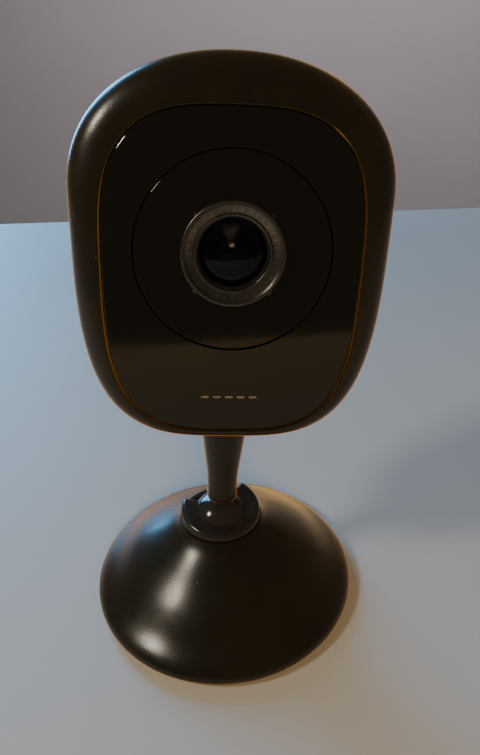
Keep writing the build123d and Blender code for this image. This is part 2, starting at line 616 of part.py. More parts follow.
def make_case_screws():
    screw = Rot(180, 0, 0) * pan_screw(1.95, 1.3, 0.8, 10.4)
    screws = [facing(Pos(0, 0, CASE_SCREW_SEAT) * screw, across, up) for across, up in CASE_SCREWS]
    keep("case_screws", group(screws))


make_dome()
make_collar()
make_socket_parts()
make_underside()
make_ball_joint()
make_stem()
make_shells()
make_panel_and_disc()
make_lens()
make_board()
make_back_electronics()
make_front_electronics()
make_usb_and_reset()
make_case_screws()

for node, shape in placed.items():
    export_step(shape, f"parts/{node}.step")
print(len(placed), "nodes written")
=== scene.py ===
import bmesh
import bpy
import json
from math import acos, cos, pi, radians, sin, sqrt
from mathutils import Matrix, Vector


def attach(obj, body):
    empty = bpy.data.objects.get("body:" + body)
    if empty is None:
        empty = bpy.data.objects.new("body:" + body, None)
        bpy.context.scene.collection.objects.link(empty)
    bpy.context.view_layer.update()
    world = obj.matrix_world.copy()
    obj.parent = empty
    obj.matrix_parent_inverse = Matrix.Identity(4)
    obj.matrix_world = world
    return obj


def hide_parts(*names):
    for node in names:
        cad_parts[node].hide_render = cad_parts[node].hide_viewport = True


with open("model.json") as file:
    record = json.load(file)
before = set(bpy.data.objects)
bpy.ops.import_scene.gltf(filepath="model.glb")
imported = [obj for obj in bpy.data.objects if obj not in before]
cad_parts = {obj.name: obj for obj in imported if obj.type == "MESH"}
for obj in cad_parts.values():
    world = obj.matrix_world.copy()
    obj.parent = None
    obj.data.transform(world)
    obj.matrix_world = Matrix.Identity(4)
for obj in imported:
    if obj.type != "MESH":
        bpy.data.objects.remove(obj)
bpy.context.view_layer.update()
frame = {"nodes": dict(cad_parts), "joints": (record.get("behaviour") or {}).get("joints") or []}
nodes = frame["nodes"]
joints = {joint["name"]: joint for joint in frame["joints"]}


# ---- base dome
# The stand is a low round foot injection-moulded in black ABS, hollow underneath. Its rolled rim
# sweeps up in one concave curve to a narrow neck, where a well takes the ball from above.
# The mould's polish leaves it a little glossier than the camera's case.
MILLIMETRES = Matrix.Scale(0.001, 4)
NECK_RADIUS = 9.5
NECK_HEIGHT = 20.2
WELL_RADIUS = 8.0
DOME_SWEEP = ((29.9, 0.7), (30.7, 1.2), (31.0, 2.4), (30.2, 3.8), (27.3, 6.0), (22.3, 10.3),
              (17.0, 14.2), (13.0, 16.9), (10.7, 18.8), (NECK_RADIUS, NECK_HEIGHT))
DOME_HOLLOW = ((11.6, 15.4), (15.9, 12.2), (21.0, 8.4), (25.6, 4.9), (28.8, 2.8))


def smooth_through(points, steps=8):
    """A cubic spline through (across, up) points, with steps points to each stretch."""
    spans = [sqrt((b[0] - a[0]) ** 2 + (b[1] - a[1]) ** 2) for a, b in zip(points, points[1:])]
    count = len(points)
    curves = []
    for axis in (0, 1):
        values = [point[axis] for point in points]
        upper = [0.0] * count
        right = [0.0] * count
        for i in range(1, count - 1):
            left = spans[i - 1]
            pull = 6 * ((values[i + 1] - values[i]) / spans[i] - (values[i] - values[i - 1]) / left)
            pivot = 2 * (left + spans[i]) - left * upper[i - 1]
            upper[i] = spans[i] / pivot
            right[i] = (pull - left * right[i - 1]) / pivot
        bends = [0.0] * count
        for i in range(count - 2, 0, -1):
            bends[i] = right[i] - upper[i] * bends[i + 1]
        curves.append((values, bends))
    path = []
    for i, span in enumerate(spans):
        for step in range(steps):
            b = step / steps
            a = 1 - b
            path.append(tuple(a * values[i] + b * values[i + 1]
                              + ((a ** 3 - a) * bends[i] + (b ** 3 - b) * bends[i + 1]) * span ** 2 / 6
                              for values, bends in curves))
    return path + [tuple(points[-1])]


def arc(centre, radius, start, end, steps=10):
    """Points of an arc in a half profile, from one angle to another in degrees."""
    turns = [radians(start + (end - start) * step / steps) for step in range(steps + 1)]
    return [(centre[0] + radius * cos(turn), centre[1] + radius * sin(turn)) for turn in turns]


def softened(corners, radius, steps=4):
    """A closed profile whose corners away from the axis are rounded to a small radius."""
    path = []
    count = len(corners)
    for i, corner in enumerate(corners):
        here = Vector(corner)
        to_last = Vector(corners[i - 1]) - here
        to_next = Vector(corners[(i + 1) % count]) - here
        if here.x < 1e-6 or min(to_last.length, to_next.length) < 1e-6:
            path.append(tuple(here))
            continue
        reach = min(radius, 0.45 * to_last.length, 0.45 * to_next.length)
        start = here + to_last.normalized() * reach
        end = here + to_next.normalized() * reach
        for step in range(steps + 1):
            share = step / steps
            path.append(tuple((1 - share) ** 2 * start + 2 * share * (1 - share) * here + share ** 2 * end))
    return path


class Tree:
    """A Geometry Nodes tree with named inputs, whose sockets are joined by plain calls."""

    def __init__(self, name, inputs):
        self.group = bpy.data.node_groups.new(name, "GeometryNodeTree")
        face = self.group.interface
        face.new_socket("Geometry", in_out="INPUT", socket_type="NodeSocketGeometry")
        for label, kind in inputs:
            face.new_socket(label, in_out="INPUT", socket_type="NodeSocket" + kind)
        face.new_socket("Material", in_out="INPUT", socket_type="NodeSocketMaterial")
        face.new_socket("Geometry", in_out="OUTPUT", socket_type="NodeSocketGeometry")
        self.entry = self.group.nodes.new("NodeGroupInput").outputs

    def add(self, kind, settings=None, **sockets):
        """A node with settings on the node and values or sockets in its inputs; gives its outputs."""
        node = self.group.nodes.new(kind)
        for key, value in (settings or {}).items():
            setattr(node, key, value)
        for key, value in sockets.items():
            place = int(key[1:]) if key[1:].isdigit() else key.replace("_", " ")
            if isinstance(value, bpy.types.NodeSocket):
                self.group.links.new(value, node.inputs[place])
            else:
                node.inputs[place].default_value = value
        return node.outputs

    def maths(self, operation, first, second=0.0):
        return self.add("ShaderNodeMath", {"operation": operation}, i0=first, i1=second)[0]

    def strung(self, count, spot):
        """A row of points, each moved to its spot."""
        line = self.add("GeometryNodeMeshLine", Count=count)[0]
        return self.add("GeometryNodeSetPosition", Geometry=line, Position=spot)[0]

    def copied(self, points, **more):
        """A copy of the start mesh at every point."""
        copies = {"Points": points, "Instance": self.entry["Geometry"], **more}
        return self.add("GeometryNodeInstanceOnPoints", **copies)[0]

    def close(self, geometry):
        """End the tree in real geometry that has its material."""
        real = self.add("GeometryNodeRealizeInstances", Geometry=geometry)[0]
        painted = self.add("GeometryNodeSetMaterial", Geometry=real, Material=self.entry["Material"])[0]
        self.group.links.new(painted, self.group.nodes.new("NodeGroupOutput").inputs[0])

    def close_all(self, geometries):
        """End the tree in several geometries joined as one."""
        both = self.group.nodes.new("GeometryNodeJoinGeometry")
        for geometry in geometries:
            self.group.links.new(geometry, both.inputs[0])
        self.close(both.outputs[0])


def made_by(tree, mesh, values, material, place, name):
    """Run a tree on a start mesh and give a finished object, placed, with its faces outward."""
    start = bpy.data.objects.new(name + "_start", mesh)
    bpy.context.scene.collection.objects.link(start)
    modifier = start.modifiers.new(name, "NODES")
    modifier.node_group = tree.group
    for item in tree.group.interface.items_tree:
        if item.in_out == "INPUT" and item.name in values:
            modifier[item.identifier] = values[item.name]
        elif item.in_out == "INPUT" and item.name == "Material":
            modifier[item.identifier] = material
    graph = bpy.context.evaluated_depsgraph_get()
    result = bpy.data.meshes.new_from_object(start.evaluated_get(graph))
    bpy.data.objects.remove(start)
    return finished(name, result, material, place)


def finished(name, mesh, material, place, edge_angle=32):
    """An object at the origin with its place in its mesh: merged, smooth, and facing outward."""
    shape = bmesh.new()
    shape.from_mesh(mesh)
    bmesh.ops.remove_doubles(shape, verts=shape.verts, dist=0.0004)
    bmesh.ops.dissolve_degenerate(shape, edges=shape.edges, dist=0.0002)
    bmesh.ops.transform(shape, matrix=place @ MILLIMETRES, verts=shape.verts)
    bmesh.ops.recalc_face_normals(shape, faces=shape.faces)
    for face in shape.faces:
        face.smooth = True
    shape.to_mesh(mesh)
    shape.free()
    mesh.name = name
    mesh.materials.clear()
    mesh.materials.append(material)
    mesh.set_sharp_from_angle(angle=radians(edge_angle))
    piece = bpy.data.objects.new(name, mesh)
    bpy.context.scene.collection.objects.link(piece)
    evened = piece.modifiers.new("flat faces stay flat", "WEIGHTED_NORMAL")
    evened.keep_sharp = True
    graph = bpy.context.evaluated_depsgraph_get()
    shaded = bpy.data.meshes.new_from_object(piece.evaluated_get(graph))
    piece.modifiers.clear()
    piece.data = shaded
    shaded.name = name
    return piece


def turning_tree():
    """Sweeps a half profile, held as a row of points (across, 0, up), once round the Z axis."""
    tree = Tree("turned on a lathe", [("Profile Points", "Int"), ("Steps Around", "Int")])
    stations = tree.entry["Profile Points"]
    around = tree.maths("ADD", tree.entry["Steps Around"], 1)
    sheet = tree.add("GeometryNodeMeshGrid", Vertices_X=stations, Vertices_Y=around)[0]
    index = tree.add("GeometryNodeInputIndex")[0]
    station = tree.maths("FLOOR", tree.maths("DIVIDE", tree.maths("ADD", index, 0.5), around))
    column = tree.maths("SUBTRACT", index, tree.maths("MULTIPLY", station, around))
    turn = tree.maths("MULTIPLY", column, tree.maths("DIVIDE", 2 * pi, tree.entry["Steps Around"]))
    here = tree.add("GeometryNodeInputPosition")[0]
    sampler = tree.group.nodes.new("GeometryNodeSampleIndex")
    sampler.data_type = "FLOAT_VECTOR"
    sampler.domain = "POINT"
    tree.group.links.new(tree.entry["Geometry"], sampler.inputs["Geometry"])
    tree.group.links.new(here, sampler.inputs["Value"])
    tree.group.links.new(station, sampler.inputs["Index"])
    point = tree.add("ShaderNodeSeparateXYZ", Vector=sampler.outputs[0])
    spot = tree.add("ShaderNodeCombineXYZ", X=tree.maths("MULTIPLY", point[0], tree.maths("COSINE", turn)),
                    Y=tree.maths("MULTIPLY", point[0], tree.maths("SINE", turn)), Z=point[2])[0]
    swept = tree.add("GeometryNodeSetPosition", Geometry=sheet, Position=spot)[0]
    tree.close(tree.add("GeometryNodeMergeByDistance", Geometry=swept, Distance=0.0004)[0])
    return tree


lathe = turning_tree()


def turned(name, profile, material, place, steps=128):
    """A piece of revolution from a closed half profile in millimetres."""
    mesh = bpy.data.meshes.new(name)
    row = list(profile) + [profile[0]]
    mesh.from_pydata([(across, 0, up) for across, up in row], [], [])
    return made_by(lathe, mesh, {"Profile Points": len(row), "Steps Around": steps}, material, place, name)


def finish(name, sockets):
    """A material whose uniform values sit on the shader's own sockets."""
    material = bpy.data.materials.new(name)
    material.use_nodes = True
    shader = material.node_tree.nodes["Principled BSDF"]
    for socket, value in sockets.items():
        shader.inputs[socket].default_value = value
    return material


def pattern(material, kind, scale, **settings):
    """A texture node on the piece's own coordinates."""
    tree = material.node_tree
    place = tree.nodes.get("place") or tree.nodes.new("ShaderNodeTexCoord")
    place.name = "place"
    texture = tree.nodes.new(kind)
    for key, value in settings.items():
        if key in texture.inputs:
            texture.inputs[key].default_value = value
        else:
            setattr(texture, key, value)
    texture.inputs["Scale"].default_value = scale
    tree.links.new(place.outputs["Object"], texture.inputs["Vector"])
    return texture


def spread(material, source, low, high, start=0.3, end=0.7):
    """Map a texture's middle range on to two values."""
    node = material.node_tree.nodes.new("ShaderNodeMapRange")
    node.inputs["From Min"].default_value = start
    node.inputs["From Max"].default_value = end
    node.inputs["To Min"].default_value = low
    node.inputs["To Max"].default_value = high
    material.node_tree.links.new(source, node.inputs["Value"])
    return node.outputs["Result"]


def blend_in(material, socket, value, share):
    """Mix a colour or number over what the shader's socket already has, by a share from 0 to 1."""
    tree = material.node_tree
    shader = tree.nodes["Principled BSDF"]
    target = shader.inputs[socket]
    is_colour = target.type == "RGBA"
    mix = tree.nodes.new("ShaderNodeMix")
    mix.data_type = "RGBA" if is_colour else "FLOAT"
    under, over = (mix.inputs[6], mix.inputs[7]) if is_colour else (mix.inputs[2], mix.inputs[3])
    if target.is_linked:
        tree.links.new(target.links[0].from_socket, under)
    else:
        under.default_value = target.default_value
    over.default_value = value
    tree.links.new(share, mix.inputs[0])
    tree.links.new(mix.outputs[2] if is_colour else mix.outputs[0], target)


def bumped(material, height, distance, strength=1.0):
    """Raise the surface by a texture, over any bump it already has."""
    tree = material.node_tree
    target = tree.nodes["Principled BSDF"].inputs["Normal"]
    bump = tree.nodes.new("ShaderNodeBump")
    bump.inputs["Distance"].default_value = distance
    bump.inputs["Strength"].default_value = strength
    if target.is_linked:
        tree.links.new(target.links[0].from_socket, bump.inputs["Normal"])
    tree.links.new(height, bump.inputs["Height"])
    tree.links.new(bump.outputs["Normal"], target)


def dusted(material, amount, speck=0.05, cell=380):
    """Scattered pale specks of dust, a tenth of a millimetre or less across."""
    tree = material.node_tree
    dots = pattern(material, "ShaderNodeTexVoronoi", cell)
    near = spread(material, dots.outputs["Distance"], 1.0, 0.0, speck * 0.5, speck)
    chance = tree.nodes.new("ShaderNodeSeparateColor")
    tree.links.new(dots.outputs["Color"], chance.inputs[0])
    some = spread(material, chance.outputs[0], 0.0, 1.0, 1 - amount, 1 - amount * 0.6)
    both = tree.nodes.new("ShaderNodeMath")
    both.operation = "MULTIPLY"
    tree.links.new(near, both.inputs[0])
    tree.links.new(some, both.inputs[1])
    blend_in(material, "Base Color", (0.22, 0.21, 0.19, 1), both.outputs[0])
    blend_in(material, "Roughness", 0.8, both.outputs[0])


def moulded_black(name, tint, roughness, grain, painted_rim_sheen):
    """Injection-moulded black plastic: faint grain, cloudy gloss and dust, with an orange sheen that paints
    a warm glow along the edges and a painted warm tint in its reflections.
    """
    # Specular Tint paints a slight warm cast into the reflections, and the orange Sheen Tint paints a warm
    # glow along the edges.
    material = finish(name, {"Base Color": (*tint, 1), "Roughness": roughness, "IOR": 1.5,
                             "Specular Tint": (1.0, 0.94, 0.82, 1),
                             "Sheen Weight": painted_rim_sheen, "Sheen Roughness": 0.32,
                             "Sheen Tint": (1.0, 0.48, 0.05, 1)})
    clouds = pattern(material, "ShaderNodeTexNoise", 45, Detail=4.0, Roughness=0.6)
    paler = tuple(value * 1.7 + 0.001 for value in tint)
    blend_in(material, "Base Color", (*paler, 1), spread(material, clouds.outputs["Fac"], 0.0, 1.0))
    smears = pattern(material, "ShaderNodeTexNoise", 120, Detail=6.0, Roughness=0.65, Distortion=0.6)
    blend_in(material, "Roughness", roughness * 1.35, spread(material, smears.outputs["Fac"], 0.0, 1.0))
    fine = pattern(material, "ShaderNodeTexNoise", 2600, Detail=2.0)
    bumped(material, fine.outputs["Fac"], grain)
    dusted(material, 0.10)
    return material


# Its 0.8 sheen paints a strong orange glow along the dome's edges.
base_black = moulded_black("base black ABS", (0.0050, 0.0042, 0.0018), 0.22, 0.000012, 0.8)
dome_profile = (smooth_through(DOME_SWEEP)
                + softened([(WELL_RADIUS + 0.35, NECK_HEIGHT), (WELL_RADIUS, NECK_HEIGHT - 0.35)], 0.01)
                + [(WELL_RADIUS, 8.2), (WELL_RADIUS + 1.5, 8.2), (WELL_RADIUS + 1.5, 15.4)]
                + smooth_through(DOME_HOLLOW, 5) + [(28.8, 0.7)])
base_dome = turned("base_dome_shell", dome_profile, base_black, Matrix.Identity(4), 192)
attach(base_dome, "base")
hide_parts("base_dome")


# ---- socket collar
# A separate C-shaped ring in gloss black is pressed into the well and closes over the ball.
# It is open on one side, so the stem can fold down through the gap; its rim is rounded all round.
def merged_copy(node, name, material, edge_angle=38):
    """A copy of a CAD node with its loose triangles joined, so that it shades as one surface."""
    mesh = nodes[node].data.copy()
    mesh.transform(MILLIMETRES.inverted())
    return finished(name, mesh, material, Matrix.Identity(4), edge_angle)


# Its small sheen paints a faint orange glow along the collar's edges.
collar_black = moulded_black("collar gloss black", (0.011, 0.010, 0.009), 0.17, 0.000006, 0.1)
collar = merged_copy("socket_collar", "socket_collar_ring", collar_black)
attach(collar, "base")
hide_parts("socket_collar")


# ---- what holds the ball from below
# An acetal seat is pushed up against the ball by a coil spring on a clamp plate, which three
# self-tapping screws pull up to posts under the dome. A cast weight ring fills the skirt.
def paint(names, material):
    """Give carried-over nodes their material."""
    for name in names:
        slots = nodes[name].material_slots
        if not slots:
            nodes[name].data.materials.append(material)
        for item in slots:
            item.material = material


def brushed_steel(name, tint, roughness):
    """Zinc-plated steel: bright, with fine drawn scratches and a cloudy film."""
    material = finish(name, {"Base Color": (*tint, 1), "Metallic": 1.0, "Roughness": roughness})
    film = pattern(material, "ShaderNodeTexNoise", 300, Detail=5.0)
    blend_in(material, "Roughness", roughness * 1.7, spread(material, film.outputs["Fac"], 0.0, 1.0))
    dull = tuple(value * 0.62 for value in tint)
    blend_in(material, "Base Color", (*dull, 1), spread(material, film.outputs["Fac"], 0.0, 0.6))
    scratches = pattern(material, "ShaderNodeTexNoise", 1500, Detail=3.0, Distortion=2.0)
    bumped(material, scratches.outputs["Fac"], 0.000008)
    return material


steel = brushed_steel("zinc-plated steel", (0.55, 0.56, 0.57), 0.3)
inner_black = moulded_black("inner black plastic", (0.012, 0.012, 0.012), 0.42, 0.00002, 0.0)
paint(("pressure_spring", "clamp_plate", "clamp_screws", "base_plate_screws", "stem_washer",
       "stem_screw", "neck_screws", "board_screws", "lens_holder_screws", "radio_shield",
       "antenna", "base_weight"), steel)
paint(("ball_seat", "neck_clamp", "lens_holder", "reset_switch", "aperture_stop"), inner_black)


# ---- base plate and foot pad
# A flat ABS disc closes the skirt from below, held by three screws. A round pad of soft black
# rubber foam is stuck over it; its cut edge is slightly rounded and its face is finely pored.
PAD_RADIUS = 27.0
PAD_THICKNESS = 1.2
plate_black = moulded_black("plate black ABS", (0.010, 0.010, 0.010), 0.45, 0.00003, 0.0)
paint(("base_plate",), plate_black)


def foam_rubber(name):
    """Closed-cell foam: matt, finely pored, rubbed paler in places."""
    material = finish(name, {"Base Color": (0.014, 0.014, 0.014, 1), "Roughness": 0.85})
    pores = pattern(material, "ShaderNodeTexVoronoi", 1700)
    bumped(material, pores.outputs["Distance"], 0.00005)
    wear = pattern(material, "ShaderNodeTexNoise", 90, Detail=6.0)
    rubbed = spread(material, wear.outputs["Fac"], 0, 1, 0.45, 0.8)
    blend_in(material, "Base Color", (0.035, 0.034, 0.032, 1), rubbed)
    blend_in(material, "Roughness", 0.65, spread(material, wear.outputs["Fac"], 0, 1, 0.5, 0.8))
    return material


pad_rubber = foam_rubber("foot pad rubber foam")
pad_corners = [(0, 0), (PAD_RADIUS, 0), (PAD_RADIUS, PAD_THICKNESS), (0, PAD_THICKNESS)]
foot_pad = turned("foot_pad_foam", softened(pad_corners, 0.35), pad_rubber, Matrix.Identity(4))
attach(foot_pad, "base")
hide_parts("foot_pad")


# ---- ball and its stud
# The ball is one polished black nylon moulding with a stud on top, on which the stem turns.
# It stands in the collar at the slight lean of the camera at rest, so its frame is the head's.
BALL_RADIUS = 7.0
STUD_RADIUS = 1.9
STUD_TOP = 17.0
up_axis = Vector(joints["turn"]["axis"]).normalized()
forward_axis = Vector(joints["reset_press"]["axis"]).normalized()
ball_centre = Vector(joints["turn"]["pos_m"])
right_axis = up_axis.cross(forward_axis).normalized()
head = Matrix((right_axis, -forward_axis, up_axis)).transposed().to_4x4()
head.translation = ball_centre

# Its small sheen paints a faint orange glow along the ball's edges.
ball_black = moulded_black("ball polished black nylon", (0.012, 0.011, 0.010), 0.12, 0.000004, 0.05)
stud_turn = acos(STUD_RADIUS / BALL_RADIUS) * 180 / pi
ball_profile = (arc((0, 0), BALL_RADIUS, -90, stud_turn, 48)
                + [(STUD_RADIUS, STUD_TOP - 0.3), (STUD_RADIUS - 0.3, STUD_TOP), (0.8, STUD_TOP),
                   (0.8, STUD_TOP - 5), (0, STUD_TOP - 5)])
ball = turned("ball_with_stud", ball_profile, ball_black, head)
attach(ball, "ball")
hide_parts("ball_stud")
paint(("ball_core",), inner_black)


# ---- stem
# A slim black stem turns on the stud. It stands straight over the ball, then flares like a
# trumpet into the underside of the case, and inside the case a flange holds it in the cradle.
STEM_RADIUS = 3.42
STEM_FOOT = 5.8
STEM_NECK_RADIUS = 5.3
STEM_BOSS_RADIUS = 4.9
STEM_TOP = 39.5
FLARE = ((STEM_RADIUS, 9.6), (3.62, 13.2), (4.0, 16.2), (4.62, 21.0), (STEM_NECK_RADIUS, 26.4))
stem_profile = (arc((STEM_RADIUS - 1.2, STEM_FOOT + 1.25), 1.2, -80, 0, 6) + smooth_through(FLARE)
                + softened([(STEM_NECK_RADIUS, 31.4), (STEM_BOSS_RADIUS, 31.4), (STEM_BOSS_RADIUS, 33.6),
                            (7.0, 33.6), (7.0, 35.4), (STEM_BOSS_RADIUS, 35.4),
                            (STEM_BOSS_RADIUS, STEM_TOP), (3.0, STEM_TOP), (3.0, STUD_TOP - 0.1),
                            (STUD_RADIUS + 0.05, STUD_TOP - 0.1), (STUD_RADIUS + 0.05, 7.0)], 0.05, 1))
stem = turned("stem_moulding", stem_profile, base_black, head)
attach(stem, "head")
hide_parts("stem")


# ---- rear cover
# The back half of the case is a pebble-shaped pot in satin black ABS, two millimetres thick.
# Two fans of vent slots, a bay for the power inlet, a reset hole, a microphone hole and four
# screw wells are moulded in it, and posts inside take the board and the front half.
HALF_WIDTH = 28.95
MIDDLE = 75.0
TOP = 97.9
BOTTOM = 28.4
TOP_POWER = 2.17
BOTTOM_POWER = 3.48
FRONT = 14.9
BACK = -12.8
WIDEST_FRONT = 10.0
WIDEST_BACK = 9.2
BACK_INSET = 14.0
WALL = 2.0
SEAM = 5.6
PANEL_HALF_WIDTH = 23.1
PANEL_MIDDLE = 64.0
PANEL_TOP = 89.3
PANEL_BOTTOM = 31.1
PANEL_TOP_POWER = 3.1
PANEL_BOTTOM_POWER = 3.3
PANEL_LAND = 0.55
STEPS_ROUND = 168
WELLS = ((-21.8, 70.0), (21.8, 70.0), (-16.6, 40.0), (16.6, 40.0))
WELL_SEAT = -1.0
INLET_HEIGHT = 51.0
INLET_FLOOR = -6.4
RESET_PLACE = (9.7, 60.0)
MICROPHONE_PLACE = (-9.7, 60.0)


def oval(forward, half_width, middle, top, bottom, top_power, bottom_power):
    """A closed loop of two half superellipses, at one distance forward of the ball."""
    loop = []
    for step in range(STEPS_ROUND):
        angle = 2 * pi * step / STEPS_ROUND
        upper = sin(angle) >= 0
        reach = top - middle if upper else middle - bottom
        power = top_power if upper else bottom_power
        radius = (abs(cos(angle) / half_width) ** power + abs(sin(angle) / reach) ** power) ** (-1 / power)
        loop.append((radius * cos(angle), -forward, middle + radius * sin(angle)))
    return loop


def front_loop(share, forward, inset=0.0):
    """Between the widest outline (share 0) and the land round the panel (share 1)."""
    def between(widest, panel):
        return widest + share * (panel - widest)
    return oval(forward, between(HALF_WIDTH, PANEL_HALF_WIDTH + PANEL_LAND) - inset,
                between(MIDDLE, PANEL_MIDDLE), between(TOP, PANEL_TOP + PANEL_LAND) - inset,
                between(BOTTOM, PANEL_BOTTOM - PANEL_LAND) + inset,
                between(TOP_POWER, PANEL_TOP_POWER), between(BOTTOM_POWER, PANEL_BOTTOM_POWER))


def back_loop(shrink, forward, inset=0.0):
    """The outline behind the widest plane, drawn in by shrink all round."""
    return oval(forward, HALF_WIDTH - shrink - inset, MIDDLE - 0.55 * shrink, TOP - shrink - inset,
                BOTTOM + 0.9 * shrink + inset, TOP_POWER, BOTTOM_POWER)


def flat_loops(inset, back):
    """The flat middle of the back, from its centre out."""
    rim = back_loop(BACK_INSET, back, inset)
    middle = MIDDLE - 0.55 * BACK_INSET
    return [[(x * size, y, middle + (z - middle) * size) for x, y, z in rim]
            for size in (0.0, 0.25, 0.5, 0.75)]


def shrink_at(share):
    """How far the outline has drawn in, from the widest plane (share 0) to the back (share 1)."""
    return BACK_INSET * (1 - (1 - share ** 1.35) ** (1 / 1.9))


def back_loops(inset, back, start, end, sections=26):
    """The rounded back between two distances forward, up to the widest outline."""
    depth = WIDEST_BACK - back
    first = (WIDEST_BACK - start) / depth
    last = (WIDEST_BACK - end) / depth
    loops = []
    for section in range(sections + 1):
        share = first + (last - first) * (section / sections) ** 1.7
        loops.append(back_loop(shrink_at(share), WIDEST_BACK - share * depth, inset))
    return loops


def seam_loop(forward, inset):
    """The outline where the two halves of the case meet."""
    share = (WIDEST_BACK - SEAM) / (WIDEST_BACK - BACK)
    return back_loop(shrink_at(share), forward, inset)


def front_loops(inset, front, sections=22):
    """From the widest outline, round the edge, to the land round the panel."""
    loops = []
    for section in range(sections + 1):
        angle = pi / 2 * section / sections
        forward = WIDEST_FRONT + (front - WIDEST_FRONT) * sin(angle)
        loops.append(front_loop(1 - cos(angle), forward, inset))
    return loops


def skinned(loops, closed=False):
    """A mesh of quads from loop to loop, and from the last back to the first where it is closed."""
    mesh = bpy.data.meshes.new("skin")
    verts = [point for loop in loops for point in loop]
    count = len(loops[0])
    faces = []
    pairs = [(row, row + 1) for row in range(len(loops) - 1)]
    if closed:
        pairs.append((len(loops) - 1, 0))
    for low, high in pairs:
        for step in range(count):
            after = (step + 1) % count
            faces.append((low * count + step, low * count + after,
                          high * count + after, high * count + step))
    mesh.from_pydata(verts, [], faces)
    return mesh


def solid(mesh):
    """A helper object in millimetres in the head's own frame, merged and facing outward."""
    shape = bmesh.new()
    shape.from_mesh(mesh)
    bmesh.ops.remove_doubles(shape, verts=shape.verts, dist=0.0004)
    bmesh.ops.recalc_face_normals(shape, faces=shape.faces)
    shape.to_mesh(mesh)
    shape.free()
    tool = bpy.data.objects.new("tool", mesh)
    bpy.context.scene.collection.objects.link(tool)
    return tool


def prism(outline, back, front):
    """A straight-sided mesh between two distances forward, from (across, up) points."""
    mesh = bpy.data.meshes.new("prism")
    count = len(outline)
    verts = [(x, -forward, z) for forward in (back, front) for x, z in outline]
    faces = [tuple(range(count)), tuple(range(2 * count - 1, count - 1, -1))]
    faces += [(i, count + i, count + (i + 1) % count, (i + 1) % count) for i in range(count)]
    mesh.from_pydata(verts, [], faces)
    return mesh


def circle(radius, across=0.0, up=0.0, steps=40):
    return [(across + radius * cos(2 * pi * i / steps), up + radius * sin(2 * pi * i / steps))
            for i in range(steps)]


def rounded_box(width, height, corner, across=0.0, up=0.0):
    """A rounded rectangle, as (across, up) points."""
    points = []
    for quarter, (side, level) in enumerate(((1, 1), (-1, 1), (-1, -1), (1, -1))):
        centre = (across + side * (width / 2 - corner), up + level * (height / 2 - corner))
        points += arc(centre, corner, 90 * quarter, 90 * quarter + 90, 6)
    return points


def joined(meshes):
    """Several separate meshes as one."""
    shape = bmesh.new()
    for mesh in meshes:
        shape.from_mesh(mesh)
    both = bpy.data.meshes.new("joined")
    shape.to_mesh(both)
    shape.free()
    return both


def carved(mesh, steps):
    """Apply union, difference or intersection with other meshes, one after another."""
    work = solid(mesh)
    for operation, other in steps:
        tool = solid(other)
        modifier = work.modifiers.new("cut", "BOOLEAN")
        modifier.operation = operation
        modifier.solver = "EXACT"
        modifier.object = tool
        graph = bpy.context.evaluated_depsgraph_get()
        result = bpy.data.meshes.new_from_object(work.evaluated_get(graph))
        work.modifiers.clear()
        work.data = result
        bpy.data.objects.remove(tool)
    result = work.data
    bpy.data.objects.remove(work)
    return result


def vent_tree():
    """Two fans of slots, each row a little shorter than the one below it."""
    tree = Tree("vent slots", [("Rows", "Int"), ("Pitch", "Float"), ("Lowest", "Float"),
                               ("Length", "Float"), ("Shortening", "Float"), ("Gap", "Float")])
    row = tree.add("GeometryNodeInputIndex")[0]
    shorter = tree.maths("MULTIPLY", row, tree.entry["Shortening"])
    length = tree.maths("SUBTRACT", tree.entry["Length"], shorter)
    up = tree.maths("ADD", tree.entry["Lowest"], tree.maths("MULTIPLY", row, tree.entry["Pitch"]))
    reach = tree.maths("ADD", tree.maths("MULTIPLY", length, 0.5), tree.entry["Gap"])
    narrower = tree.maths("DIVIDE", length, tree.entry["Length"])
    stretch = tree.add("ShaderNodeCombineXYZ", X=narrower, Y=1.0, Z=1.0)[0]
    sides = []
    for side in (-1, 1):
        spot = tree.add("ShaderNodeCombineXYZ", X=tree.maths("MULTIPLY", reach, side), Z=up)[0]
        sides.append(tree.copied(tree.strung(tree.entry["Rows"], spot), Scale=stretch))
    tree.close_all(sides)
    return tree


VENTS = {"Rows": 6, "Pitch": 2.6, "Lowest": 66.5, "Length": 11.0, "Shortening": 0.55, "Gap": 1.3}
VENT_WIDTH = 1.1
# Its 0.8 sheen paints a strong orange glow along the case's edges.
case_black = moulded_black("case satin black ABS", (0.0048, 0.0041, 0.0018), 0.24, 0.000018, 0.8)
slot_outline = rounded_box(VENTS["Length"], VENT_WIDTH, VENT_WIDTH / 2 - 0.001)
slot_cutter = prism(slot_outline, BACK - 1, BACK + WALL + 2)
vent_cutter = made_by(vent_tree(), slot_cutter, VENTS, case_black, MILLIMETRES.inverted(), "vent_cutter")
SKIN = 0.7
pot = skinned(flat_loops(0.0, BACK) + back_loops(0.0, BACK, BACK, SEAM - 0.1) + [seam_loop(SEAM, 0.1)]
              + back_loops(WALL, BACK + WALL, BACK + WALL, SEAM)[::-1] + flat_loops(WALL, BACK + WALL)[::-1])
limit = skinned(flat_loops(SKIN, BACK + SKIN) + back_loops(SKIN, BACK + SKIN, BACK + SKIN, WIDEST_BACK)
                + front_loops(SKIN, FRONT - SKIN) + [[(0, -(FRONT - SKIN), PANEL_MIDDLE)] * STEPS_ROUND])
posts = joined([prism(circle(3.3, x, z), BACK, SEAM - 0.001) for x, z in WELLS])
inlet_walls = prism(rounded_box(17.0, 12.0, 2.6, 0, INLET_HEIGHT), BACK + 0.6, INLET_FLOOR + 1.4)
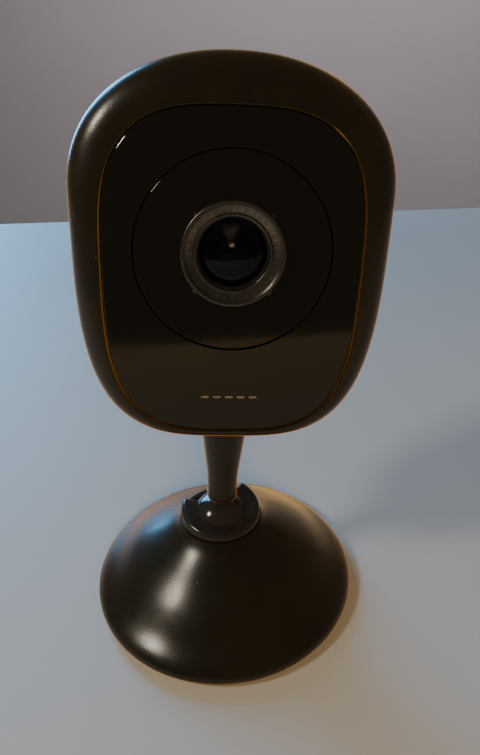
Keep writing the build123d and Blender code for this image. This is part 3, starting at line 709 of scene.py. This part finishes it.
openings = joined([prism(circle(2.3, x, z), BACK - 1, WELL_SEAT) for x, z in WELLS]
                  + [prism(circle(1.15, x, z), WELL_SEAT - 0.5, SEAM + 1) for x, z in WELLS]
                  + [prism(rounded_box(14.0, 9.0, 1.6, 0, INLET_HEIGHT), BACK - 1, INLET_FLOOR),
                     prism(circle(2.05, *RESET_PLACE), BACK - 1, BACK + WALL + 1),
                     prism(circle(0.5, *MICROPHONE_PLACE, 24), BACK - 1, BACK + WALL + 1)])
narrow_bores = prism(rounded_box(8.2, 3.4, 1.0, 0, INLET_HEIGHT), INLET_FLOOR - 1, INLET_FLOOR + 3)
stem_hole = bpy.data.meshes.new("stem hole")
stem_ring = circle(STEM_NECK_RADIUS + 0.1, 0, 0, 72)
stem_hole.from_pydata([(x, y, z) for z in (18.0, 31.5) for x, y in stem_ring], [],
                      [tuple(range(72)), tuple(range(143, 71, -1))]
                      + [(i, 72 + i, 72 + (i + 1) % 72, (i + 1) % 72) for i in range(72)])
cover_mesh = carved(pot, [("UNION", carved(posts, [("INTERSECT", limit)])), ("UNION", inlet_walls),
                          ("DIFFERENCE", openings), ("DIFFERENCE", narrow_bores),
                          ("DIFFERENCE", vent_cutter.data), ("DIFFERENCE", stem_hole)])
bpy.data.objects.remove(vent_cutter)
rear_cover = finished("rear_cover_shell", cover_mesh, case_black, head)
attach(rear_cover, "head")
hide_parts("rear_cover")


# ---- case screws
# Four zinc-plated self-tapping screws, deep in their wells, pull the rear cover on to posts in
# the front half. Their pan heads have a pressed cross slot and their shanks are grooved.
def paired_screws():
    """Puts the start mesh at both ends of an upper and a lower line across the middle."""
    tree = Tree("paired screws", [("Upper Reach", "Float"), ("Upper Height", "Float"),
                                  ("Lower Reach", "Float"), ("Lower Height", "Float")])
    rows = []
    for level in ("Upper", "Lower"):
        reach = tree.entry[level + " Reach"]
        height = tree.entry[level + " Height"]
        first = tree.add("ShaderNodeCombineXYZ", X=tree.maths("MULTIPLY", reach, -1.0), Y=height)[0]
        step = tree.add("ShaderNodeCombineXYZ", X=tree.maths("MULTIPLY", reach, 2.0))[0]
        line = tree.add("GeometryNodeMeshLine", Count=2, Start_Location=first, Offset=step)[0]
        rows.append(tree.copied(line))
    tree.close_all(rows)
    return tree


SCREW_HEAD_RADIUS = 1.95
SCREW_HEAD_HEIGHT = 1.3
SHANK_RADIUS = 0.8
THREAD_ROOT = 0.68
THREAD_PITCH = 0.7
SCREW_LENGTH = 10.4
HEAD_ROUND = 0.5
SLOT_LENGTH = 2.3
SLOT_WIDTH = 0.55
SLOT_DEPTH = 0.7
thread = [(SHANK_RADIUS if step % 2 else THREAD_ROOT, -1.0 - THREAD_PITCH * step / 2) for step in range(24)]
head_round = arc((SCREW_HEAD_RADIUS - HEAD_ROUND, SCREW_HEAD_HEIGHT - HEAD_ROUND), HEAD_ROUND, 90, 0, 5)
screw_profile = ([(0, SCREW_HEAD_HEIGHT)] + head_round
                 + [(SCREW_HEAD_RADIUS, 0), (SHANK_RADIUS, 0)] + thread
                 + [(THREAD_ROOT, 0.6 - SCREW_LENGTH), (0, -SCREW_LENGTH)])
blank = turned("screw_blank", screw_profile, steel, MILLIMETRES.inverted(), 40)
cross = [prism(rounded_box(width, height, 0.1), SCREW_HEAD_HEIGHT - SLOT_DEPTH, SCREW_HEAD_HEIGHT + 1)
         for width, height in ((SLOT_LENGTH, SLOT_WIDTH), (SLOT_WIDTH, SLOT_LENGTH))]
for bar in cross:
    bar.transform(Matrix.Rotation(-pi / 2, 4, "X"))
screw_mesh = carved(blank.data, [("DIFFERENCE", bar) for bar in cross])
bpy.data.objects.remove(blank)
wells = head @ Matrix.Translation((0, -WELL_SEAT * 0.001, 0)) @ Matrix.Rotation(-pi / 2, 4, "X")
placing = {"Upper Reach": WELLS[1][0], "Upper Height": -WELLS[1][1],
           "Lower Reach": WELLS[3][0], "Lower Height": -WELLS[3][1]}
case_screws = made_by(paired_screws(), screw_mesh, placing, steel, wells, "case_screws_threaded")
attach(case_screws, "head")
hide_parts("case_screws")


# ---- circuit board and its parts
# One four-layer board carries everything: a green solder mask over copper, black chips, a finned
# aluminium heat spreader, a tinned shield over the radio, the inlet and the reset switch.
def board_green(name):
    """Solder mask over copper tracks, glossy and dark green."""
    material = finish(name, {"Base Color": (0.006, 0.05, 0.022, 1), "Roughness": 0.35, "Coat Weight": 0.4})
    tracks = pattern(material, "ShaderNodeTexBrick", 420)
    tracks.inputs["Mortar Size"].default_value = 0.12
    blend_in(material, "Base Color", (0.012, 0.11, 0.05, 1), tracks.outputs["Fac"])
    return material


def chip_black(name):
    """Moulded epoxy with a gritty surface, as chips have."""
    material = finish(name, {"Base Color": (0.011, 0.011, 0.012, 1), "Roughness": 0.55})
    grit = pattern(material, "ShaderNodeTexNoise", 2200, Detail=4.0)
    bumped(material, grit.outputs["Fac"], 0.00002)
    blend_in(material, "Roughness", 0.4, spread(material, grit.outputs["Fac"], 0, 1))
    return material


board_finish = board_green("green solder mask")
chip_finish = chip_black("chip epoxy")
aluminium = brushed_steel("bare aluminium", (0.72, 0.73, 0.74), 0.38)
clear_plastic = finish("clear polycarbonate", {"Base Color": (0.9, 0.92, 0.9, 1), "Roughness": 0.12,
                                               "Transmission Weight": 0.8, "IOR": 1.58})
bumped(clear_plastic, pattern(clear_plastic, "ShaderNodeTexNoise", 500).outputs["Fac"], 0.00001)
paint(("main_board",), board_finish)
paint(("processor_chip", "memory_chip", "radio_chip", "image_sensor", "power_inductor", "panel_tape"),
      chip_finish)
paint(("thermal_pad", "microphone_boot"), pad_rubber)
paint(("heat_spreader", "microphone", "clock_crystal", "capacitors"), aluminium)
paint(("light_pipe", "status_led"), clear_plastic)


# ---- power inlet and reset button
# The inlet is a folded and tinned steel shell soldered to the board, deep in its bay. The reset
# button is a small black plunger that stands half a millimetre proud of the cover.
tinned = brushed_steel("tinned inlet shell", (0.62, 0.61, 0.58), 0.25)
paint(("micro_usb_socket",), tinned)
button = merged_copy("reset_button", "reset_button_cap", collar_black, 30)
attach(button, "reset_button")
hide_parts("reset_button")


# ---- lens
# A black turned barrel screws into the holder on the board and carries three coated glasses.
# Fine baffle steps inside it kill stray light, and its glasses are tinted dark to paint the shade inside, so
# the lens looks almost black from the front.
LENS_HEIGHT = 65.45
FACE = 15.1
GLASS_RADIUS = 6.15
lens = head @ Matrix.Translation(Vector((0, 0, LENS_HEIGHT)) * 0.001) @ Matrix.Rotation(pi / 2, 4, "X")


def sphere_cap(centre, radius, reach, steps=18):
    """From the axis out to a reach, the top of a sphere whose centre is on the axis."""
    stations = [reach * step / steps for step in range(steps + 1)]
    return [(across, centre + sqrt(radius ** 2 - across ** 2)) for across in stations]


def coated_glass(name, tint, rim):
    """Lens glass with a thin coating that reflects a faint colour, its body tinted dark to paint the shade
    inside the lens.
    """
    # The dark Base Color tint paints the shade inside the lens into the glass.
    material = finish(name, {"Base Color": (*tint, 1), "Roughness": 0.02, "IOR": 1.36,
                             "Transmission Weight": 1.0, "Specular Tint": (*rim, 1)})
    haze = pattern(material, "ShaderNodeTexNoise", 260, Detail=4.0)
    blend_in(material, "Roughness", 0.06, spread(material, haze.outputs["Fac"], 0, 1, 0.5, 0.8))
    return material


# Both glasses are tinted dark, which paints the shade inside the barrel.
front_glass = coated_glass("front glass", (0.20, 0.22, 0.27), (0.75, 0.8, 1.0))
inner_glass = coated_glass("inner glass", (0.14, 0.11, 0.18), (0.9, 0.7, 1.0))
glass_profile = (sphere_cap(FACE - 17.3, 16.4, GLASS_RADIUS)
                 + [(GLASS_RADIUS, FACE - 2.9)] + sphere_cap(FACE - 7.9, 6.2, 3.666)[::-1])
glass = turned("lens_glass_front_element", glass_profile, front_glass, lens)
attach(glass, "head")
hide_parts("lens_glass_front")
middle_profile = sphere_cap(2.2, 8.4, 4.5) + [(4.5, 8.7), (0, 8.7)]
middle_glass = turned("lens_glass_middle_element", middle_profile, inner_glass, lens)
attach(middle_glass, "head")
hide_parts("lens_glass_middle")
hollow_back = [(across, 11.6 - sqrt(6.7 ** 2 - across ** 2)) for across in (3.0, 2.0, 1.0, 0.0)]
rear_profile = [(0, 7.9), (3.3, 7.9), (3.3, 5.86)] + hollow_back
rear_glass = turned("lens_glass_rear_element", rear_profile, inner_glass, lens)
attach(rear_glass, "head")
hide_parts("lens_glass_rear")
paint(("ir_cut_filter",), inner_glass)

baffles = []
for step in range(5):
    radius = 5.6 - 0.21 * step
    depth = FACE - 2.95 - 0.33 * step
    baffles += [(radius, depth), (radius - 0.04, depth - 0.3)]
barrel_profile = ([(6.0, 4.6), (6.0, FACE - 4.5), (7.2, FACE - 4.1), (7.2, FACE - 1.15), (7.05, FACE - 1.1),
                   (GLASS_RADIUS + 0.03, FACE - 1.1), (GLASS_RADIUS + 0.03, FACE - 2.95)] + baffles
                  + [(4.53, FACE - 4.6), (4.53, 8.0), (3.33, 8.0), (3.33, 4.6)])
barrel_black = moulded_black("barrel anodised black", (0.006, 0.006, 0.006), 0.5, 0.00001, 0.0)
barrel = turned("lens_barrel_baffled", barrel_profile, barrel_black, lens)
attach(barrel, "head")
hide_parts("lens_barrel")


# ---- front bezel
# The front half of the case is a deep rounded frame in the same satin ABS. It meets the rear
# cover at a fine step, and a narrow land runs round the recess that the panel is taped into.
RECESS_FLOOR = FACE - 1.7
LIP = 1.3
PANEL_GAP = 0.3
SEAM_STEP = 0.45
SEAM_OPEN = 0.35


def panel_loop(forward, inset=0.0):
    return oval(forward, PANEL_HALF_WIDTH - inset, PANEL_MIDDLE, PANEL_TOP - inset, PANEL_BOTTOM + inset,
                PANEL_TOP_POWER, PANEL_BOTTOM_POWER)


def lens_loop(forward, radius):
    """A circle round the lens with the same number of points as the ovals."""
    turns = [2 * pi * step / STEPS_ROUND for step in range(STEPS_ROUND)]
    return [(radius * cos(turn), -forward, LENS_HEIGHT + radius * sin(turn)) for turn in turns]


bezel_mesh = skinned([seam_loop(SEAM, SEAM_STEP), seam_loop(SEAM + SEAM_OPEN, SEAM_STEP),
                      seam_loop(SEAM + SEAM_OPEN, 0.1)]
                     + back_loops(0.0, BACK, SEAM + SEAM_OPEN + 0.1, WIDEST_BACK, 8)
                     + front_loops(0.0, FRONT)[:-1]
                     + [front_loop(1.0, FRONT), panel_loop(FRONT, -PANEL_GAP - 0.1),
                        panel_loop(FRONT - 0.03, -PANEL_GAP - 0.03), panel_loop(FRONT - 0.1, -PANEL_GAP),
                        panel_loop(RECESS_FLOOR, -PANEL_GAP), lens_loop(RECESS_FLOOR, 15.6),
                        lens_loop(RECESS_FLOOR - LIP, 15.6)]
                     + front_loops(WALL, RECESS_FLOOR - LIP)[::-1]
                     + back_loops(WALL, BACK + WALL, SEAM, WIDEST_BACK, 8)[::-1], closed=True)
front_bezel = finished("front_bezel_shell", bezel_mesh, case_black, head)
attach(front_bezel, "head")
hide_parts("front_bezel")


# ---- front panel and lens disc
# A flat window of piano-black acrylic is stuck in the recess, its edge cut with a fine bright
# chamfer. A round disc of the same acrylic fills its hole flush and frames the lens.
DISC_RADIUS = 17.6
DISC_GAP = 0.12
PANEL_THICKNESS = 1.5
DISC_THICKNESS = 1.7


def piano_black(name, tint):
    """Polished acrylic over black: a hard clear gloss with faint finger smears, hairlines and dust, and a
    painted warm tint in its reflections.
    """
    # The Specular Tint paints a warm cast into the panel's reflections.
    material = finish(name, {"Base Color": (*tint, 1), "Roughness": 0.05, "IOR": 1.52,
                             "Specular Tint": (1.0, 0.90, 0.72, 1)})
    smears = pattern(material, "ShaderNodeTexNoise", 60, Detail=5.0, Roughness=0.7, Distortion=1.4)
    blend_in(material, "Roughness", 0.12, spread(material, smears.outputs["Fac"], 0, 1, 0.45, 0.75))
    hairlines = pattern(material, "ShaderNodeTexNoise", 700, Detail=2.0, Distortion=4.0)
    bumped(material, hairlines.outputs["Fac"], 0.0000012)
    dusted(material, 0.22, 0.035, 300)
    return material


panel_black = piano_black("panel piano black", (0.0034, 0.0034, 0.0031))
hole = DISC_RADIUS + DISC_GAP
panel_mesh = skinned([panel_loop(FACE - PANEL_THICKNESS), panel_loop(FACE - 0.32),
                      panel_loop(FACE - 0.27, 0.03), panel_loop(FACE - 0.03, 0.27), panel_loop(FACE, 0.34),
                      lens_loop(FACE, hole + 0.12), lens_loop(FACE - 0.03, hole + 0.03),
                      lens_loop(FACE - 0.12, hole), lens_loop(FACE - PANEL_THICKNESS, hole)], closed=True)
front_panel = finished("front_panel_acrylic", panel_mesh, panel_black, head, 40)
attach(front_panel, "head")
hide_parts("front_panel")

disc_profile = softened([(8.9, FACE - DISC_THICKNESS), (DISC_RADIUS, FACE - DISC_THICKNESS),
                         (DISC_RADIUS, FACE - 0.25), (DISC_RADIUS - 0.25, FACE), (8.9, FACE)], 0.05, 3)
disc_black = piano_black("disc piano black", (0.0030, 0.0030, 0.0028))
lens_disc = turned("lens_disc_acrylic", disc_profile, disc_black, lens, 192)
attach(lens_disc, "head")
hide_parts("lens_disc")


# ---- printed dashes under the lens
# A short row of dashes is pad-printed in pale tan ink low on the panel, a few hundredths of a
# millimetre thick. They are plain strokes that stand in for whatever is printed there.
def printed_row():
    """A centred row of evenly spaced copies of the start mesh."""
    tree = Tree("printed row", [("Strokes", "Int"), ("Pitch", "Float"), ("Height", "Float")])
    index = tree.add("GeometryNodeInputIndex")[0]
    middle = tree.maths("MULTIPLY", tree.maths("SUBTRACT", tree.entry["Strokes"], 1), 0.5)
    across = tree.maths("MULTIPLY", tree.maths("SUBTRACT", index, middle), tree.entry["Pitch"])
    spot = tree.add("ShaderNodeCombineXYZ", X=across, Z=tree.entry["Height"])[0]
    tree.close(tree.copied(tree.strung(tree.entry["Strokes"], spot)))
    return tree


def tan_ink(name):
    """Matt printing ink with a slightly uneven film."""
    material = finish(name, {"Base Color": (0.20, 0.16, 0.10, 1), "Roughness": 0.5})
    film = pattern(material, "ShaderNodeTexNoise", 2500, Detail=4.0)
    blend_in(material, "Base Color", (0.10, 0.08, 0.05, 1), spread(material, film.outputs["Fac"], 0.0, 1.0))
    bumped(material, film.outputs["Fac"], 0.000004)
    return material


stroke = prism(rounded_box(1.5, 0.42, 0.15), FACE - 0.02, FACE + 0.04)
dashes = made_by(printed_row(), stroke, {"Strokes": 5, "Pitch": 2.3, "Height": 38.2},
                 tan_ink("pale tan ink"), head, "printed_dashes")
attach(dashes, "head")


# ---- trim ring round the lens
# A turned ring in dark nickel plate, with a polished outer edge and a dished face that falls
# towards the glass. Fine raised strokes run round the dish and four nubs stand at its edge.
TRIM_RADIUS = 9.33


def dark_nickel(name, tint):
    """Dark bright plating with fine turning marks round the lens axis."""
    material = finish(name, {"Base Color": (*tint, 1), "Metallic": 1.0, "Roughness": 0.22})
    film = pattern(material, "ShaderNodeTexNoise", 420, Detail=5.0)
    blend_in(material, "Roughness", 0.38, spread(material, film.outputs["Fac"], 0, 1))
    darker = tuple(value * 0.55 for value in tint)
    blend_in(material, "Base Color", (*darker, 1), spread(material, film.outputs["Fac"], 0, 0.8))
    bumped(material, pattern(material, "ShaderNodeTexNoise", 2400, Detail=2.0).outputs["Fac"], 0.000006)
    return material


nickel = dark_nickel("trim dark bronze plate", (0.17, 0.145, 0.11))
trim_profile = softened([(8.8, FACE - 3), (8.8, FACE), (TRIM_RADIUS, FACE), (TRIM_RADIUS, FACE + 0.35),
                         (TRIM_RADIUS - 0.15, FACE + 0.5), (TRIM_RADIUS - 0.6, FACE + 0.5),
                         (TRIM_RADIUS - 0.8, FACE + 0.2), (7.15, FACE - 0.4), (6.9, FACE - 0.2),
                         (6.55, FACE - 0.25), (6.42, FACE - 0.5), (6.42, FACE - 0.9), (7.5, FACE - 0.9),
                         (7.5, FACE - 3)], 0.08, 3)
trim_ring = turned("lens_trim_ring_plated", trim_profile, nickel, lens, 160)
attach(trim_ring, "head")
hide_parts("lens_trim_ring")


def spaced_round():
    """Copies of the start mesh at even steps on a circle, each turned to face outward."""
    tree = Tree("spaced round", [("Count", "Int"), ("Radius", "Float"), ("First Turn", "Float")])
    index = tree.add("GeometryNodeInputIndex")[0]
    step = tree.maths("DIVIDE", 2 * pi, tree.entry["Count"])
    turn = tree.maths("ADD", tree.maths("MULTIPLY", index, step), tree.entry["First Turn"])
    across = tree.maths("MULTIPLY", tree.maths("COSINE", turn), tree.entry["Radius"])
    along = tree.maths("MULTIPLY", tree.maths("SINE", turn), tree.entry["Radius"])
    spot = tree.add("ShaderNodeCombineXYZ", X=across, Y=along)[0]
    facing = tree.add("ShaderNodeCombineXYZ", Z=turn)[0]
    tree.close(tree.copied(tree.strung(tree.entry["Count"], spot), Rotation=facing))
    return tree


round_tree = spaced_round()
lying_flat = Matrix.Rotation(-pi / 2, 4, "X")
dish_slope = Matrix.Rotation(-0.41, 4, "Y")
tick = prism(rounded_box(0.7, 0.12, 0.04), -0.12, 0.03)
tick.transform(Matrix.Translation((0, 0, FACE - 0.1)) @ dish_slope @ lying_flat)
nub = prism(rounded_box(0.5, 0.9, 0.2), FACE - 0.1, FACE + 0.2)
nub.transform(lying_flat)
nickel_mark = dark_nickel("raised mark nickel", (0.36, 0.32, 0.27))
tick_places = {"Count": 36, "Radius": 7.85, "First Turn": 0.0}
nub_places = {"Count": 4, "Radius": 9.55, "First Turn": pi / 4}
ticks = made_by(round_tree, tick, tick_places, nickel_mark, lens, "ring_ticks")
nubs = made_by(round_tree, nub, nub_places, nickel, lens, "ring_nubs")
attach(ticks, "head")
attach(nubs, "head")


# ---- studio
# A pale matt table top ends a foot behind the stand, with a pale wall well beyond it. A tall cool
# window is behind on the left and a small key lamp high on the left. A warm lamp lights the
# table's near edge, and another lights only the wall.
TABLE_SIDE = 1.4
TABLE_FRONT = -0.42
TABLE_BACK = 0.31
EDGE_RADIUS = 0.02
WALL_BACK = 1.5
WALL_SIDE = 2.6


def paper(name, tint):
    """Matt painted surface with slow clouds of tone and a fine tooth."""
    material = finish(name, {"Base Color": (*tint, 1), "Roughness": 0.62})
    cloud = pattern(material, "ShaderNodeTexNoise", 3, Detail=3.0)
    worn = tuple(value * 0.92 for value in tint)
    blend_in(material, "Base Color", (*worn, 1), spread(material, cloud.outputs["Fac"], 0, 1))
    bumped(material, pattern(material, "ShaderNodeTexNoise", 900, Detail=2.0).outputs["Fac"], 0.00002)
    return material


def staged_sheet(name, line, side, material):
    """A smooth sheet along X from a row of (back, up) points, as part of the set."""
    mesh = bpy.data.meshes.new(name)
    count = len(line)
    mesh.from_pydata([(end * side, y, z) for end in (-1, 1) for y, z in line], [],
                     [(i, count + i, count + i + 1, i + 1) for i in range(count - 1)])
    for face in mesh.polygons:
        face.use_smooth = True
    mesh.materials.append(material)
    sheet = bpy.data.objects.new(name, mesh)
    bpy.context.scene.collection.objects.link(sheet)


table_edge = arc((TABLE_BACK, -EDGE_RADIUS), EDGE_RADIUS, 90, 0, 8)
staged_sheet("table top", [(TABLE_FRONT, 0.0)] + table_edge + [(TABLE_BACK + EDGE_RADIUS, -0.5)],
             TABLE_SIDE, paper("pale table top", (0.44, 0.425, 0.40)))
wall_paint = paper("pale wall", (0.42, 0.40, 0.43))
staged_sheet("far wall", [(WALL_BACK, -1.5), (WALL_BACK, 2.0)], WALL_SIDE, wall_paint)


def soft_light(name, place, target, width, height, power, colour):
    """A rectangular soft box that the camera doesn't see, turned to a target."""
    light = bpy.data.lights.new(name, "AREA")
    light.shape = "RECTANGLE"
    light.size = width
    light.size_y = height
    light.energy = power
    light.color = colour
    lamp = bpy.data.objects.new(name, light)
    bpy.context.scene.collection.objects.link(lamp)
    lamp.location = place
    lamp.rotation_euler = (Vector(target) - Vector(place)).to_track_quat("-Z", "Y").to_euler()
    lamp.visible_camera = False
    return lamp


soft_light("cool window", (-0.47, 0.72, 0.36), (0, 0, 0.07), 0.3, 0.62, 11.0, (0.12, 0.50, 1.0))
soft_light("key lamp", (-0.58, -0.22, 0.58), (0, 0, 0.04), 0.12, 0.12, 2.9, (1.0, 0.96, 0.88))
table_lamp = soft_light("table lamp", (0.05, -0.75, 0.5), (0.0, TABLE_FRONT, 0.0), 0.3, 0.2, 6.0,
                        (1.0, 0.66, 0.28))
table_lamp.visible_glossy = False
soft_light("wall lamp", (0.35, 0.75, 0.6), (0.3, 1.5, 0.0), 1.2, 0.5, 7.0, (1.0, 0.95, 1.0))
world = bpy.data.worlds.new("room")
world.use_nodes = True
world.node_tree.nodes["Background"].inputs["Color"].default_value = (1.0, 0.90, 0.78, 1)
world.node_tree.nodes["Background"].inputs["Strength"].default_value = 0.115
bpy.context.scene.world = world


# ---- camera
CAMERA_PLACE = Vector((0.00563, -0.10725, 0.12233))
LOOK_DOWN = radians(31.05)
ROLL = radians(-1.96)
camera_data = bpy.data.cameras.new("camera")
camera_data.lens = 29.114
camera_data.sensor_width = 36.0
camera_data.clip_start = 0.005
camera = bpy.data.objects.new("camera", camera_data)
bpy.context.scene.collection.objects.link(camera)
camera.matrix_world = (Matrix.Translation(CAMERA_PLACE) @ Matrix.Rotation(pi / 2 - LOOK_DOWN, 4, "X")
                       @ Matrix.Rotation(ROLL, 4, "Z"))
bpy.context.scene.camera = camera
